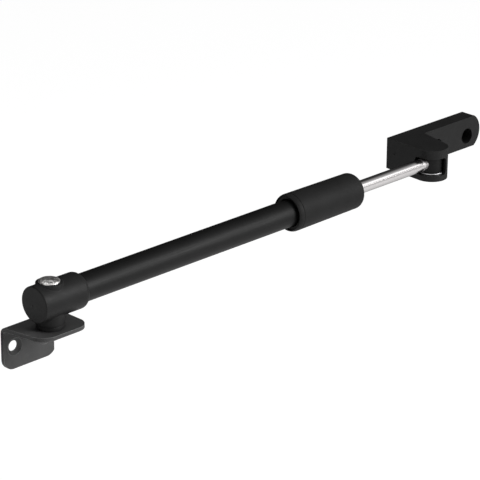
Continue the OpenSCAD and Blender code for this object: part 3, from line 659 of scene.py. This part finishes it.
# Zinc-plated steel: bright, but with the soft sheen of a tumbled stamping.
bright_plate, tree, shader = start_material("bright_plated_steel", Metallic=1.0)
place = add(tree, "TexCoord").outputs["Object"]
cloud = add(tree, "TexNoise", {"Vector": place, "Scale": 1 / (2 * MM), "Detail": 3.0})
tumbled = add(tree, "TexNoise", {"Vector": place, "Scale": 1 / (0.5 * MM), "Detail": 3.0})
lay_on(tree, shader, cloud, "#d0d0d2", "#e6e6e8", tumbled,
       rough=(0.3, 0.4), depth=0.0005 * MM)
stand_in(washer, "sash_side", "fork_washer", bright_plate)


# The pivot bush, between pin and cap, is turned from acetal: white, hard and slippery.
# It carries the stay's swing with no grease, so it has no coat and stays as it was cut.
def finish_node(name, finish):
    """A CAD node whose shape is right keeps it, and gets its own finish."""
    nodes[name].data.materials.clear()
    nodes[name].data.materials.append(finish)


acetal, tree, shader = start_material("natural_acetal", Specular_IOR_Level=0.4)
place = add(tree, "TexCoord").outputs["Object"]
cloud = add(tree, "TexNoise", {"Vector": place, "Scale": 1 / (4 * MM), "Detail": 2.0})
skin = add(tree, "TexNoise", {"Vector": place, "Scale": 1 / (1.2 * MM), "Detail": 3.0})
lay_on(tree, shader, cloud, "#dfdcd2", "#ebe9e2", skin,
       rough=(0.3, 0.45), depth=0.01 * MM)
finish_node("pivot_bush", acetal)


# The end buffer lies at the bottom of the tube and takes the knock when the stay is shut.
# It is moulded from nitrile rubber: dull black, with the bloom that rubber gets with age.
rubber, tree, shader = start_material("moulded_nitrile_rubber", Specular_IOR_Level=0.3)
place = add(tree, "TexCoord").outputs["Object"]
bloom = add(tree, "TexNoise", {"Vector": place, "Scale": 1 / (5 * MM), "Detail": 4.0})
skin = add(tree, "TexNoise", {"Vector": place, "Scale": 1 / (0.6 * MM), "Detail": 3.0})
lay_on(tree, shader, bloom, "#151515", "#212121", skin,
       rough=(0.7, 0.9), depth=0.02 * MM)
finish_node("end_buffer", rubber)


# The piston guides the rod's inner end in the tube. It is turned from the bush's acetal;
# a rubber ring in its groove drags a little, and a plated screw holds it on the rod.
finish_node("piston", acetal)
finish_node("drag_ring", rubber)
# Bright zinc on steel: pale, a little blue, with a light haze.
zinc_plate, tree, shader = start_material("zinc_plated_screw_steel", Metallic=1.0)
place = add(tree, "TexCoord").outputs["Object"]
cloud = add(tree, "TexNoise", {"Vector": place, "Scale": 1 / (3 * MM), "Detail": 3.0})
grain = add(tree, "TexNoise", {"Vector": place, "Scale": 1 / (0.5 * MM), "Detail": 3.0})
lay_on(tree, shader, cloud, "#b7b9c0", "#cdcfd6", grain,
       rough=(0.25, 0.4), depth=0.003 * MM)
finish_node("piston_screw", zinc_plate)


# The brake body is a zinc die casting, fixed in the tube's open end: a spigot, a flange and
# a hollow stem under the grip. It is hidden, so it is left uncoated and grey.
bare_zinc, tree, shader = start_material("bare_die_cast_zinc", Metallic=1.0)
place = add(tree, "TexCoord").outputs["Object"]
flow = add(tree, "TexNoise", {
    "Vector": place, "Scale": 1 / (6 * MM), "Detail": 4.0, "Distortion": 0.8,
})
grain = add(tree, "TexNoise", {"Vector": place, "Scale": 1 / (0.5 * MM), "Detail": 3.0})
lay_on(tree, shader, flow, "#a4a7ac", "#bdc0c5", grain,
       rough=(0.35, 0.55), depth=0.006 * MM)
finish_node("brake_body", bare_zinc)


# The brake collet is moulded from acetal and slit into fingers, which close on the rod when
# the clamping ring is pushed over their taper. It slides into the stem from the grip's side.
finish_node("brake_collet", acetal)


# The clamping ring and the grip's insert are turned from brass: the insert's thread moves
# the ring's two keys along the stem. The lathe leaves fine rings round both of them.
turned_brass, tree, shader = start_material("turned_brass", Metallic=1.0)
ROUND_AXIS = (1.0, 0.03, 0.03)
place = add(tree, "TexCoord").outputs["Object"]
lathe = add(tree, "Mapping", {"Vector": place, "Scale": ROUND_AXIS}).outputs[0]
cloud = add(tree, "TexNoise", {"Vector": place, "Scale": 1 / (4 * MM), "Detail": 3.0})
rings = add(tree, "TexNoise", {"Vector": lathe, "Scale": 1 / (0.4 * MM), "Detail": 2.0})
lay_on(tree, shader, cloud, "#bf9848", "#cfab5c", rings,
       rough=(0.2, 0.35), depth=0.002 * MM)
finish_node("clamp_ring", turned_brass)
finish_node("grip_insert", turned_brass)


# The grip clip is an open ring of spring steel, punched, hardened and oiled. It snaps into
# a groove of the stem and keeps insert and grip on. The oil leaves it blue-black.
oiled_steel, tree, shader = start_material("oiled_spring_steel", Metallic=1.0)
place = add(tree, "TexCoord").outputs["Object"]
temper = add(tree, "TexNoise", {"Vector": place, "Scale": 1 / (3 * MM), "Detail": 3.0})
grain = add(tree, "TexNoise", {"Vector": place, "Scale": 1 / (0.4 * MM), "Detail": 3.0})
lay_on(tree, shader, temper, "#3b3e47", "#565a64", grain,
       rough=(0.3, 0.45), depth=0.002 * MM)
finish_node("grip_clip", oiled_steel)


# The acetal gland closes the stem's end and guides the rod, and the moulded rubber wiper in
# front of it keeps dirt out. The rubber stop ring grips the rod, and meets the spigot when
# the stay is pulled right out.
finish_node("stem_gland", acetal)
finish_node("rod_wiper", rubber)
finish_node("stop_ring", rubber)
